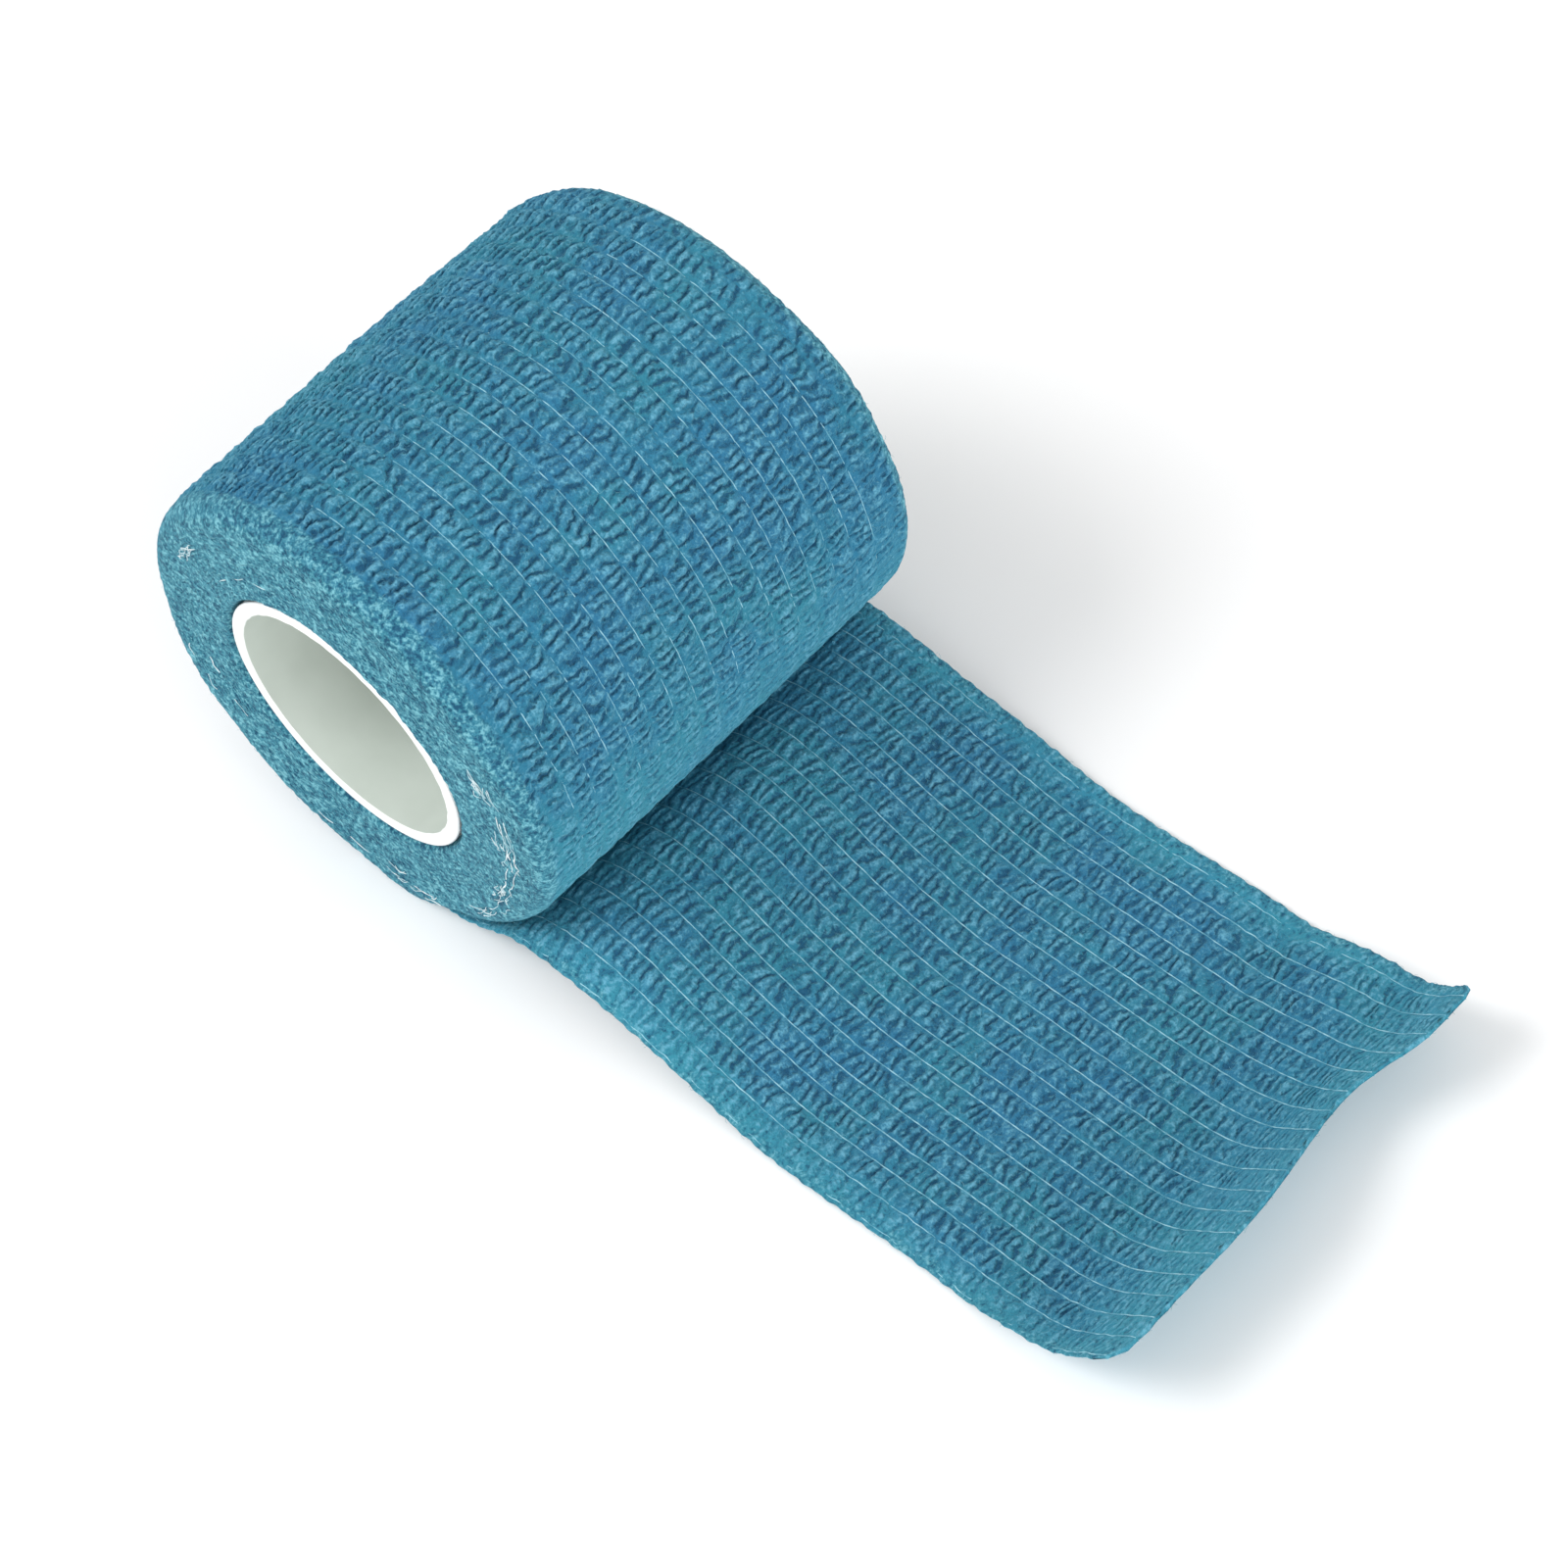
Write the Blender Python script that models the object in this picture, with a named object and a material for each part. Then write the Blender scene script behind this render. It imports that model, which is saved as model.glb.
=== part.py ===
"""A cohesive bandage wound on a plastic core, with its loose end laid out in front of it.

Units are metres, +Z is up. The roll's axis runs along Y above the origin, which is the middle of
the small flat spot that the roll stands on. The loose end leaves the underside of the roll
towards +X: it climbs a little with the roll, bows down to the ground, lies flat and curls up at
its cut end. Angles around the roll are counted from straight down, turning towards +X.
"""

import math
from collections import namedtuple

import bmesh
import bpy

# Driving dimensions
BANDAGE_WIDTH = 0.050
ROLL_RADIUS = 0.0257
ROLL_SINK = 0.00035  # how much the standing roll is flattened underneath
CORE_RADIUS = 0.0146
CORE_WALL = 0.0015
CORE_INSET = 0.0002  # the core's ends lie this far inside the bandage's edges
FIT_GAP = 0.0003

# The cloth: elastic yarns run along it, and it puffs up between them
YARN_COUNT = 19
YARN_PITCH = 0.00265
YARN_SHIFT = -0.0007  # the yarns lie this far off the middle of the cloth
RIB_HEIGHT = 0.0002
RIB_REACH = 0.0222  # the ribs around the roll end this far from its middle
CLOTH_THICKNESS = 0.0010

# The outermost turn ends in a step, under which the next turn runs on
STEP_ANGLE = math.radians(4.6)
STEP_SLIT = math.radians(0.7)
STEP_DEPTH = CLOTH_THICKNESS + 0.00035
ROOT_ROOM = 0.00022  # more room over the loose end's root, which the ground holds up
ROOT_ROOM_ANGLE = math.radians(6)
PEEL_ANGLE = math.radians(37.0)  # the loose end parts from the roll here
BLEND_ANGLE = math.radians(75.0)  # the roll has most of its radius back here
BLEND_SHARE = 0.7
TURN_SEGMENTS = 72

# The rounded edges between the roll's side and its ends
SHOULDER_DEPTH = 0.0015
SHOULDER_WIDTH = 0.0016
SHOULDER_SPREAD = 0.8  # the share by which they grow at the back of the roll
BACK_ANGLE = math.radians(250)
SHOULDER_STEPS = 3
END_FACE_STEPS = 2

# The roll isn't quite true: its ends lean a little, and it is drawn in at the back of its far end
FAR_END_LEAN = 0.0009
FAR_END_LEAN_ANGLE = math.radians(135)  # the side on which the far end stands proud
NEAR_END_LEAN = 0.0007
NEAR_END_LEAN_ANGLE = math.radians(-35)
FAR_DRAW_IN = 0.0007

# The loose end
TAIL_ROOT_X = 0.0024
TAIL_TIP_X = 0.0918
TAIL_NEAR_Y = -0.0249
TAIL_FAR_Y = 0.0247
TAIL_LEAVES_ROLL_X = 0.0145
TAIL_LIES_FROM_X = 0.050
TAIL_LIES_TO_X = 0.072
CORNER_RADIUS_NEAR = 0.0024
CORNER_RADIUS_FAR = 0.0010
CORNER_BLEND = 0.009
CUT_HOLLOW = 0.0025  # the cut end is a little hollow
CUT_HOLLOW_Y = 0.0095  # it is deepest at this place across the cloth
CUT_HOLLOW_REACH_NEAR = 0.016
CUT_HOLLOW_REACH_FAR = 0.0095

# Height of the loose end's underside along its near edge (-Y), its middle and its far edge (+Y)
TailSection = namedtuple("TailSection", "x near middle far")
TAIL_SECTIONS = [
    TailSection(0.0175, 0.0060, 0.0062, 0.0058),
    TailSection(0.0210, 0.0067, 0.0083, 0.0057),
    TailSection(0.0250, 0.0065, 0.0089, 0.0049),
    TailSection(0.0300, 0.0053, 0.0075, 0.0034),
    TailSection(0.0350, 0.0035, 0.0048, 0.0022),
    TailSection(0.0400, 0.0018, 0.0026, 0.0012),
    TailSection(0.0450, 0.0006, 0.0010, 0.0004),
    TailSection(TAIL_LIES_FROM_X, 0.0, 0.0, 0.0),
    TailSection(TAIL_LIES_TO_X, 0.0, 0.0, 0.0),
    TailSection(0.0755, 0.0006, 0.0001, 0.0012),
    TailSection(0.0790, 0.0017, 0.0003, 0.0027),
    TailSection(0.0820, 0.0026, 0.0012, 0.0035),
    TailSection(0.0850, 0.0042, 0.0030, 0.0037),
    TailSection(0.0880, 0.0070, 0.0059, 0.0049),
    TailSection(TAIL_TIP_X, 0.0107, 0.0099, 0.0084),
]
NEAR_BEND_Y = -0.017  # nearer than this, the cloth turns from its middle's height to the near edge's
FAR_BEND_Y = 0.002  # and further than this, to the far edge's

# The stretches of the loose end, and how many rows of faces each one has
TailSpan = namedtuple("TailSpan", "start end rows")
TAIL_SPANS = [
    TailSpan(TAIL_ROOT_X, TAIL_LEAVES_ROLL_X, 6),
    TailSpan(TAIL_LEAVES_ROLL_X, TAIL_LIES_FROM_X, 15),
    TailSpan(TAIL_LIES_FROM_X, TAIL_LIES_TO_X, 4),
    TailSpan(TAIL_LIES_TO_X, TAIL_TIP_X, 11),
]

CLOTH_COLOUR = (0.050, 0.235, 0.345, 1.0)
CORE_COLOUR = (0.80, 0.81, 0.79, 1.0)

HALF_WIDTH = BANDAGE_WIDTH / 2
AXIS_HEIGHT = ROLL_RADIUS - ROLL_SINK


def smoothstep(low, high, value):
    """0 below low, 1 above high, and an even curve between them."""
    share = min(1.0, max(0.0, (value - low) / (high - low)))
    return share * share * (3 - 2 * share)


def make_material(name, colour, roughness):
    material = bpy.data.materials.new(name)
    material.use_nodes = True
    shader = material.node_tree.nodes["Principled BSDF"]
    shader.inputs["Base Color"].default_value = colour
    shader.inputs["Roughness"].default_value = roughness
    shader.inputs["Metallic"].default_value = 0.0
    material.diffuse_color = colour
    return material


def add_object(name, mesh_builder, material, sharp_degrees=40):
    """Turns a bmesh into a smooth-shaded object with its normals pointing outwards."""
    bmesh.ops.recalc_face_normals(mesh_builder, faces=mesh_builder.faces)
    mesh = bpy.data.meshes.new(name)
    mesh_builder.to_mesh(mesh)
    mesh_builder.free()
    mesh.shade_smooth()
    mesh.set_sharp_from_angle(angle=math.radians(sharp_degrees))
    mesh.materials.append(material)
    piece = bpy.data.objects.new(name, mesh)
    bpy.context.scene.collection.objects.link(piece)
    return piece


def ring_solid(name, loops, material):
    """A closed solid through cross-section loops that follow each other once round the roll."""
    builder = bmesh.new()
    rings = [[builder.verts.new(point) for point in loop] for loop in loops]
    for index, ring in enumerate(rings):
        following = rings[(index + 1) % len(rings)]
        for step in range(len(ring)):
            after = (step + 1) % len(ring)
            builder.faces.new((ring[step], ring[after], following[after], following[step]))
    return add_object(name, builder, material)


def rib_stations():
    """Places across the bandage: on each elastic yarn, and halfway between two of them."""
    first_yarn = YARN_SHIFT - YARN_PITCH * (YARN_COUNT - 1) / 2
    return [first_yarn + YARN_PITCH * half / 2 for half in range(2 * YARN_COUNT - 1)]


def rib_share(y):
    """1 halfway between two yarns, 0 on a yarn."""
    return 0.5 - 0.5 * math.cos(2 * math.pi * (y - YARN_SHIFT) / YARN_PITCH)


# ---- the wound roll


def around_roll(angle, radius, y):
    """A point at a radius from the roll's axis, no lower than the ground."""
    height = AXIS_HEIGHT - radius * math.cos(angle)
    return (radius * math.sin(angle), y, max(0.0, height))


def turn_radius(angle):
    """The outer radius of the winding: it drops by one thickness of cloth at the step."""
    turned = angle - STEP_ANGLE
    inset = STEP_DEPTH * (1 - BLEND_SHARE * smoothstep(PEEL_ANGLE, BLEND_ANGLE, turned))
    inset += ROOT_ROOM * (1 - smoothstep(0, ROOT_ROOM_ANGLE, turned))
    return ROLL_RADIUS - inset * (1 - smoothstep(BLEND_ANGLE, 1.7 * math.pi, turned))


def side_unevenness(angle, y):
    """Slow swells of a soft winding. They fade out where the roll stands on the ground."""
    swell = 0.00012 * math.sin(3 * angle + 60 * y) + 0.00008 * math.sin(7 * angle - 110 * y)
    drawn_in = FAR_DRAW_IN * smoothstep(0, HALF_WIDTH, y) * (0.5 - 0.5 * math.sin(angle))
    return (swell - drawn_in) * (0.5 - 0.5 * math.cos(angle))


def end_position(angle, radius, side):
    """Where a turn's edge lies along the axis: the ends lean, and their turns wander in and out."""
    lean, lean_angle = NEAR_END_LEAN, NEAR_END_LEAN_ANGLE
    if side > 0:
        lean, lean_angle = FAR_END_LEAN, FAR_END_LEAN_ANGLE
    wander = 0.00010 * math.sin(4 * angle + 500 * radius) + 0.00007 * math.sin(9 * angle)
    offset = wander + lean * math.cos(angle - lean_angle)
    return side * (HALF_WIDTH + offset * smoothstep(CORE_RADIUS, ROLL_RADIUS, radius))


def end_points(angle, radius, side):
    """(height, y) of the points up one end of the roll, from the bore over the rounded edge."""
    bore = CORE_RADIUS + FIT_GAP
    edge_radius = radius + side_unevenness(angle, side * HALF_WIDTH)
    growth = 1 + SHOULDER_SPREAD * (0.5 + 0.5 * math.cos(angle - BACK_ANGLE))
    face_top = edge_radius - SHOULDER_DEPTH * growth
    places = []
    for step in range(END_FACE_STEPS + 1):
        height = bore + (face_top - bore) * step / END_FACE_STEPS
        places.append((height, end_position(angle, height, side)))
    for step in range(1, SHOULDER_STEPS + 1):
        bend = math.pi / 2 * step / (SHOULDER_STEPS + 1)
        height = face_top + SHOULDER_DEPTH * growth * math.sin(bend)
        drop = side * SHOULDER_WIDTH * growth * (1 - math.cos(bend))
        places.append((height, end_position(angle, height, side) - drop))
    return places


def roll_loop(angle, radius):
    """One cross-section loop of the winding: bore, one end, side with its ribs, other end."""
    loop = [around_roll(angle, *place) for place in end_points(angle, radius, -1)]
    for y in [station for station in rib_stations() if abs(station) < RIB_REACH]:
        valley = RIB_HEIGHT * (1 - rib_share(y))
        loop.append(around_roll(angle, radius - valley + side_unevenness(angle, y), y))
    loop += [around_roll(angle, *place) for place in reversed(end_points(angle, radius, 1))]
    return loop


def build_wound_roll(material):
    full_turn = 2 * math.pi - STEP_SLIT
    loops = []
    for segment in range(TURN_SEGMENTS + 1):
        angle = STEP_ANGLE + full_turn * segment / TURN_SEGMENTS
        loops.append(roll_loop(angle, turn_radius(angle)))
    return ring_solid("wound_roll", loops, material)


# ---- the core


def build_core_tube(material):
    """A plain tube with small rounded rims, one cross-section turned about the roll's axis."""
    half_length = HALF_WIDTH - CORE_INSET
    bore = CORE_RADIUS - CORE_WALL
    rim = 0.3 * CORE_WALL
    section = [
        (bore, -half_length + rim),
        (bore + rim, -half_length),
        (CORE_RADIUS - rim, -half_length),
        (CORE_RADIUS, -half_length + rim),
        (CORE_RADIUS, half_length - rim),
        (CORE_RADIUS - rim, half_length),
        (bore + rim, half_length),
        (bore, half_length - rim),
    ]
    loops = []
    for segment in range(TURN_SEGMENTS):
        angle = 2 * math.pi * segment / TURN_SEGMENTS
        loops.append([around_roll(angle, radius, y) for radius, y in section])
    return ring_solid("core_tube", loops, material)


# ---- the loose end


def roll_underside(x):
    """Height of the outermost turn's outer face, where the loose end still lies on the roll."""
    return max(0.0, AXIS_HEIGHT - math.sqrt(ROLL_RADIUS**2 - x**2))


def tail_knots(column):
    """The (x, height) points that one line along the loose end passes through."""
    on_roll = [TAIL_LEAVES_ROLL_X * share for share in (0.7, 0.85, 1.0)]
    knots = [(x, roll_underside(x)) for x in on_roll]
    return knots + [(row.x, getattr(row, column)) for row in TAIL_SECTIONS]


def through_knots(knots, x):
    """A smooth curve through the knots: cubic pieces with each knot's slope from its neighbours."""

    def slope(index):
        low, high = max(0, index - 1), min(len(knots) - 1, index + 1)
        return (knots[high][1] - knots[low][1]) / (knots[high][0] - knots[low][0])

    index = max(i for i in range(len(knots) - 1) if i == 0 or knots[i][0] <= x)
    (x0, z0), (x1, z1) = knots[index], knots[index + 1]
    span = x1 - x0
    t = (x - x0) / span
    return (
        z0 * (2 * t**3 - 3 * t**2 + 1)
        + slope(index) * span * (t**3 - 2 * t**2 + t)
        + z1 * (3 * t**2 - 2 * t**3)
        + slope(index + 1) * span * (t**3 - t**2)
    )


def tail_height(x, y):
    """Height of the loose end's underside."""
    if x <= TAIL_LEAVES_ROLL_X:
        return roll_underside(x)
    if TAIL_LIES_FROM_X <= x <= TAIL_LIES_TO_X:
        return 0.0
    near_share = max(0.0, (NEAR_BEND_Y - y) / (NEAR_BEND_Y - TAIL_NEAR_Y)) ** 2
    far_share = max(0.0, (y - FAR_BEND_Y) / (TAIL_FAR_Y - FAR_BEND_Y))
    near, middle, far = (through_knots(tail_knots(column), x) for column in ("near", "middle", "far"))
    return max(0.0, middle + (near - middle) * near_share + (far - middle) * far_share)


def tip_setback(y):
    """How far the cut end stops short of the tip: its rounded corners and slightly wavy cut."""
    reach = CUT_HOLLOW_REACH_NEAR if y < CUT_HOLLOW_Y else CUT_HOLLOW_REACH_FAR
    from_hollow = min(1.0, abs(y - CUT_HOLLOW_Y) / reach)
    setback = CUT_HOLLOW * (0.5 + 0.5 * math.cos(math.pi * from_hollow))
    corners = ((y - TAIL_NEAR_Y, CORNER_RADIUS_NEAR), (TAIL_FAR_Y - y, CORNER_RADIUS_FAR))
    for from_edge, radius in corners:
        inwards = radius - from_edge
        if inwards > 0:
            setback += radius - math.sqrt(radius**2 - inwards**2)
    return setback


def tail_points(x, y):
    """The loose end's underside and upper face at one place."""
    moved = x - tip_setback(y) * smoothstep(TAIL_TIP_X - CORNER_BLEND, TAIL_TIP_X, x)
    side_wander = 0.00018 * math.sin(210 * moved) * (y / HALF_WIDTH) ** 4
    reach = 0.0004
    rise = tail_height(moved + reach, y) - tail_height(moved - reach, y)
    tilt = math.atan2(rise, 2 * reach)
    ribs = rib_share(y) * smoothstep(TAIL_LEAVES_ROLL_X, 1.4 * TAIL_LEAVES_ROLL_X, moved)
    thickness = CLOTH_THICKNESS + RIB_HEIGHT * ribs
    height = tail_height(moved, y)
    under = (moved, y + side_wander, height)
    over = (
        moved - thickness * math.sin(tilt),
        y + side_wander,
        height + thickness * math.cos(tilt),
    )
    return under, over


def tail_rows():
    """The distances along X at which the loose end has a row of points."""
    places = [TAIL_ROOT_X]
    for start, end, rows in TAIL_SPANS:
        places += [start + (end - start) * step / rows for step in range(1, rows + 1)]
    return places


def build_loose_end(material):
    across = [TAIL_NEAR_Y] + rib_stations() + [TAIL_FAR_Y]
    builder = bmesh.new()
    sections = []
    for x in tail_rows():
        pairs = [tail_points(x, y) for y in across]
        under = [builder.verts.new(pair[0]) for pair in pairs]
        over = [builder.verts.new(pair[1]) for pair in pairs]
        sections.append(under + over[::-1])
    count = len(sections[0])
    for section, following in zip(sections, sections[1:]):
        for step in range(count):
            after = (step + 1) % count
            builder.faces.new((section[step], section[after], following[after], following[step]))
    for section in (sections[0], sections[-1]):
        for step in range(len(across) - 1):
            opposite = count - 1 - step
            builder.faces.new(
                (section[step], section[step + 1], section[opposite - 1], section[opposite])
            )
    return add_object("loose_end", builder, material)


def main():
    for piece in list(bpy.data.objects):
        bpy.data.objects.remove(piece)
    cloth = make_material("bandage", CLOTH_COLOUR, 0.9)
    plastic = make_material("core_plastic", CORE_COLOUR, 0.4)
    build_wound_roll(cloth)
    build_core_tube(plastic)
    build_loose_end(cloth)


main()
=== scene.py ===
import math

import bpy
import numpy as np
from mathutils import Matrix, Vector


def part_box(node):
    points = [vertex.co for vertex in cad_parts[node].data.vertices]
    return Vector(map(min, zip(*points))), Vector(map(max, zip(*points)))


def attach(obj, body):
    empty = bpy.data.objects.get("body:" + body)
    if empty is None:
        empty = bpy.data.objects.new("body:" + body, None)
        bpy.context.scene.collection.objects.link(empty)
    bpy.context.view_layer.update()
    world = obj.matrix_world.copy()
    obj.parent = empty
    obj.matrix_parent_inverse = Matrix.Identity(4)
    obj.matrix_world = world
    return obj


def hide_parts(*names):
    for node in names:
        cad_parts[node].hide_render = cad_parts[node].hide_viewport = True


# Cohesive bandage roll: crinkled elastic cloth wound on a white plastic core, its loose end laid out.
# Metres throughout. +X runs along the loose end, +Y along the roll's axis, +Z is up.
# Angles round the roll are counted from straight down, turning towards +X.

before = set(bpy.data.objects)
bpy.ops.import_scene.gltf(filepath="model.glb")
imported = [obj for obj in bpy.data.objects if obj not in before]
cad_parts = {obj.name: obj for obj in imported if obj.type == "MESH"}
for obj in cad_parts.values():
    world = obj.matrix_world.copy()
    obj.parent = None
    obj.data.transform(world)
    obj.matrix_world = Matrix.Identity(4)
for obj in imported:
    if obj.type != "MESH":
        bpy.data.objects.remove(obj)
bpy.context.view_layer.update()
print("frame loaded:", ", ".join(sorted(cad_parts)))

coreLow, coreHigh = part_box("core_tube")
axisHeight = (coreLow.z + coreHigh.z) / 2
coreRadius = (coreHigh.z - coreLow.z) / 2

cloth = {  # the bandage itself
    "width": 0.050,
    "yarnCount": 19,
    "yarnPitch": 0.00265,
    "yarnShift": -0.0007,  # the yarns lie this far off the middle
    "thickness": 0.00045,  # of one crinkled layer
    "crinkleOnRoll": 0.00122,  # from one crinkle to the next along the cloth
    "crinkleOnTail": 0.00116,
    "clearOfEdge": 0.00012,  # the least from a piece's edge to its next row of points
    "cellStations": (0.0, 0.12, 0.31, 0.50, 0.69, 0.88),  # shares of the way between two yarns
    "seed": 7,
}

winding = {  # the wound form, as the frame's solid has it
    "radius": 0.0257,
    "turns": 24,
    "stepAngle": math.radians(4.6),  # the outermost turn ends here, where the loose end leaves
    "stepSlit": math.radians(0.7),
    "stepDepth": 0.00135,
    "peelAngle": math.radians(37),
    "blendAngle": math.radians(75),
    "blendShare": 0.7,
    "shoulderDepth": 0.0015,
    "shoulderWidth": 0.0016,
    "shoulderSpread": 0.8,
    "stepFade": math.radians(20),  # felt at the roll's edges fills the step, and fades out this far past it
    "backAngle": math.radians(250),
    "nearLean": (0.0007, math.radians(-35)),
    "farLean": (0.0009, math.radians(135)),
    "farDrawIn": 0.0007,
    "seamDip": 0.00030,  # on the rounded edge, the side's cloth and the end's each run in under the other
}
halfWidth = cloth["width"] / 2


# ---- helpers: numbers


def smoothstep(low, high, value):
    share = np.clip((value - low) / (high - low), 0, 1)
    return share * share * (3 - 2 * share)


def throughKnots(knotX, knotZ, x):  # cubic pieces, each knot's slope taken from its neighbours
    last = len(knotX) - 1
    lower, upper = (np.clip(np.arange(last + 1) + by, 0, last) for by in (-1, 1))
    slope = (knotZ[upper] - knotZ[lower]) / (knotX[upper] - knotX[lower])
    i = np.clip(np.searchsorted(knotX, x, side="right") - 1, 0, last - 1)
    span = knotX[i + 1] - knotX[i]
    t = (x - knotX[i]) / span
    start = knotZ[i] * (2 * t**3 - 3 * t**2 + 1) + slope[i] * span * (t**3 - 2 * t**2 + t)
    return start + knotZ[i + 1] * (3 * t**2 - 2 * t**3) + slope[i + 1] * span * (t**3 - t**2)


def laneOf(y):  # counted in yarns across the cloth: a whole number on a yarn
    return (y - cloth["yarnShift"]) / cloth["yarnPitch"]


def acrossStations(low, high, shares):  # places across the cloth, the same few between every two yarns
    lanes = np.arange(math.floor(laneOf(low)), math.ceil(laneOf(high)) + 1)
    y = (lanes[:, None] + np.array(shares)[None, :]).ravel() * cloth["yarnPitch"] + cloth["yarnShift"]
    clear = cloth["clearOfEdge"]
    return np.concatenate([[low], y[(y > low + clear) & (y < high - clear)], [high]])


# ---- helpers: meshes


def addObject(name, data):
    made = bpy.data.objects.new(name, data)
    bpy.context.scene.collection.objects.link(made)
    return made


def pointsOf(mesh):
    points = np.empty(len(mesh.vertices) * 3, np.float32)
    mesh.vertices.foreach_get("co", points)
    return points.reshape(-1, 3)


def meshFromArrays(name, points, quads, triangles=()):
    points = np.asarray(points, np.float32).reshape(-1, 3)
    triangles = np.asarray(triangles, np.int32).reshape(-1, 3)
    corners = np.concatenate([quads.astype(np.int32).ravel(), triangles.ravel()])
    sizes = np.concatenate([np.full(len(quads), 4, np.int32), np.full(len(triangles), 3, np.int32)])
    mesh = bpy.data.meshes.new(name)
    mesh.vertices.add(len(points))
    mesh.vertices.foreach_set("co", points.ravel())
    mesh.loops.add(len(corners))
    mesh.loops.foreach_set("vertex_index", corners)
    mesh.polygons.add(len(sizes))
    mesh.polygons.foreach_set("loop_start", (np.cumsum(sizes) - sizes).astype(np.int32))
    mesh.polygons.foreach_set("loop_total", sizes)
    mesh.update(calc_edges=True)
    mesh.validate()
    mesh.shade_smooth()
    return addObject(name, mesh)


def giveAttributes(piece, shape, **fields):  # each value spreads over the piece's rows and columns
    for name, values in fields.items():
        kind, slot, size = ("FLOAT_VECTOR", "vector", (3,)) if name == "lift" else ("FLOAT", "value", ())
        spread = np.broadcast_to(np.asarray(values, np.float32), (*shape, *size))
        piece.data.attributes.new(name, kind, "POINT").data.foreach_set(slot, spread.ravel())


def faceOutwards(piece):  # a closed mesh whose volume comes out negative is turned round
    mesh = piece.data
    mesh.calc_loop_triangles()
    triangles = np.empty(len(mesh.loop_triangles) * 3, np.int32)
    mesh.loop_triangles.foreach_get("vertices", triangles)
    a, b, c = pointsOf(mesh)[triangles.reshape(-1, 3)].astype(float).transpose(1, 0, 2)
    if np.einsum("ij,ij->i", a, np.cross(b, c)).sum() < 0:
        mesh.flip_normals()


def shellFromGrid(name, points, joinRows=True, triangles=(), **fields):  # its last column joins its first
    rows, columns = points.shape[:2]
    r, c = np.meshgrid(np.arange(rows if joinRows else rows - 1), np.arange(columns), indexing="ij")
    near, far = r * columns, (r + 1) % rows * columns
    quads = np.stack((near + c, near + (c + 1) % columns, far + (c + 1) % columns, far + c), -1)
    piece = meshFromArrays(name, points, quads.reshape(-1, 4), triangles)
    giveAttributes(piece, (rows, columns), **fields)
    faceOutwards(piece)
    return piece


def countTriangles(*pieces):
    for piece in pieces:
        piece.data.calc_loop_triangles()
    return sum(len(piece.data.loop_triangles) for piece in pieces)


# ---- helpers: node trees, for geometry and for materials alike


def feed(socket, value):
    if isinstance(value, Field):
        value.tree.links.new(value.socket, socket)
    else:
        socket.default_value = value


def nodeOf(tree, kind, inputs, output=0, **settings):  # a new node, fed by its inputs' names or places
    node = tree.nodes.new(kind)
    for key, value in settings.items():
        setattr(node, key, value)
    for place, value in inputs.items():
        feed(node.inputs[place], value)
    return Field(tree, node.outputs[output])


def mathNode(tree, operation, *values):
    return nodeOf(tree, "ShaderNodeMath", dict(enumerate(values)), operation=operation)


class Field:  # a socket that can be added, multiplied and so on, one Math node each
    def __init__(self, tree, socket):
        self.tree = tree
        self.socket = socket

    def math(self, operation, *others):
        return mathNode(self.tree, operation, self, *others)

    def __rsub__(self, other):
        return mathNode(self.tree, "SUBTRACT", other, self)

    def wave(self):  # 0 at whole numbers, 1 halfway between them
        return (self * math.pi).math("SINE").math("ABSOLUTE")

    def over(self, low, high, newLow=0.0, newHigh=1.0):  # a clamped, smooth change of range
        labels = ("Value", "From Min", "From Max", "To Min", "To Max")
        inputs = dict(zip(labels, (self, low, high, newLow, newHigh)))
        return nodeOf(self.tree, "ShaderNodeMapRange", inputs, interpolation_type="SMOOTHSTEP")


signs = {"add": "ADD", "sub": "SUBTRACT", "mul": "MULTIPLY", "truediv": "DIVIDE", "pow": "POWER"}
for sign, operation in signs.items():
    setattr(Field, f"__{sign}__", lambda self, other, name=operation: self.math(name, other))


def vectorOf(x, y, z):
    return nodeOf(x.tree, "ShaderNodeCombineXYZ", {0: x, 1: y, 2: z})


def vectorMath(operation, a, b):
    inputs = {0: a, "Scale" if operation == "SCALE" else 1: b}
    return nodeOf(a.tree, "ShaderNodeVectorMath", inputs, operation=operation)


def noiseOf(vector, scale, detail=2.0, roughness=0.5, output=0):
    inputs = {"Vector": vector, "Scale": scale, "Detail": detail, "Roughness": roughness}
    return nodeOf(vector.tree, "ShaderNodeTexNoise", inputs, output)


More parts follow.
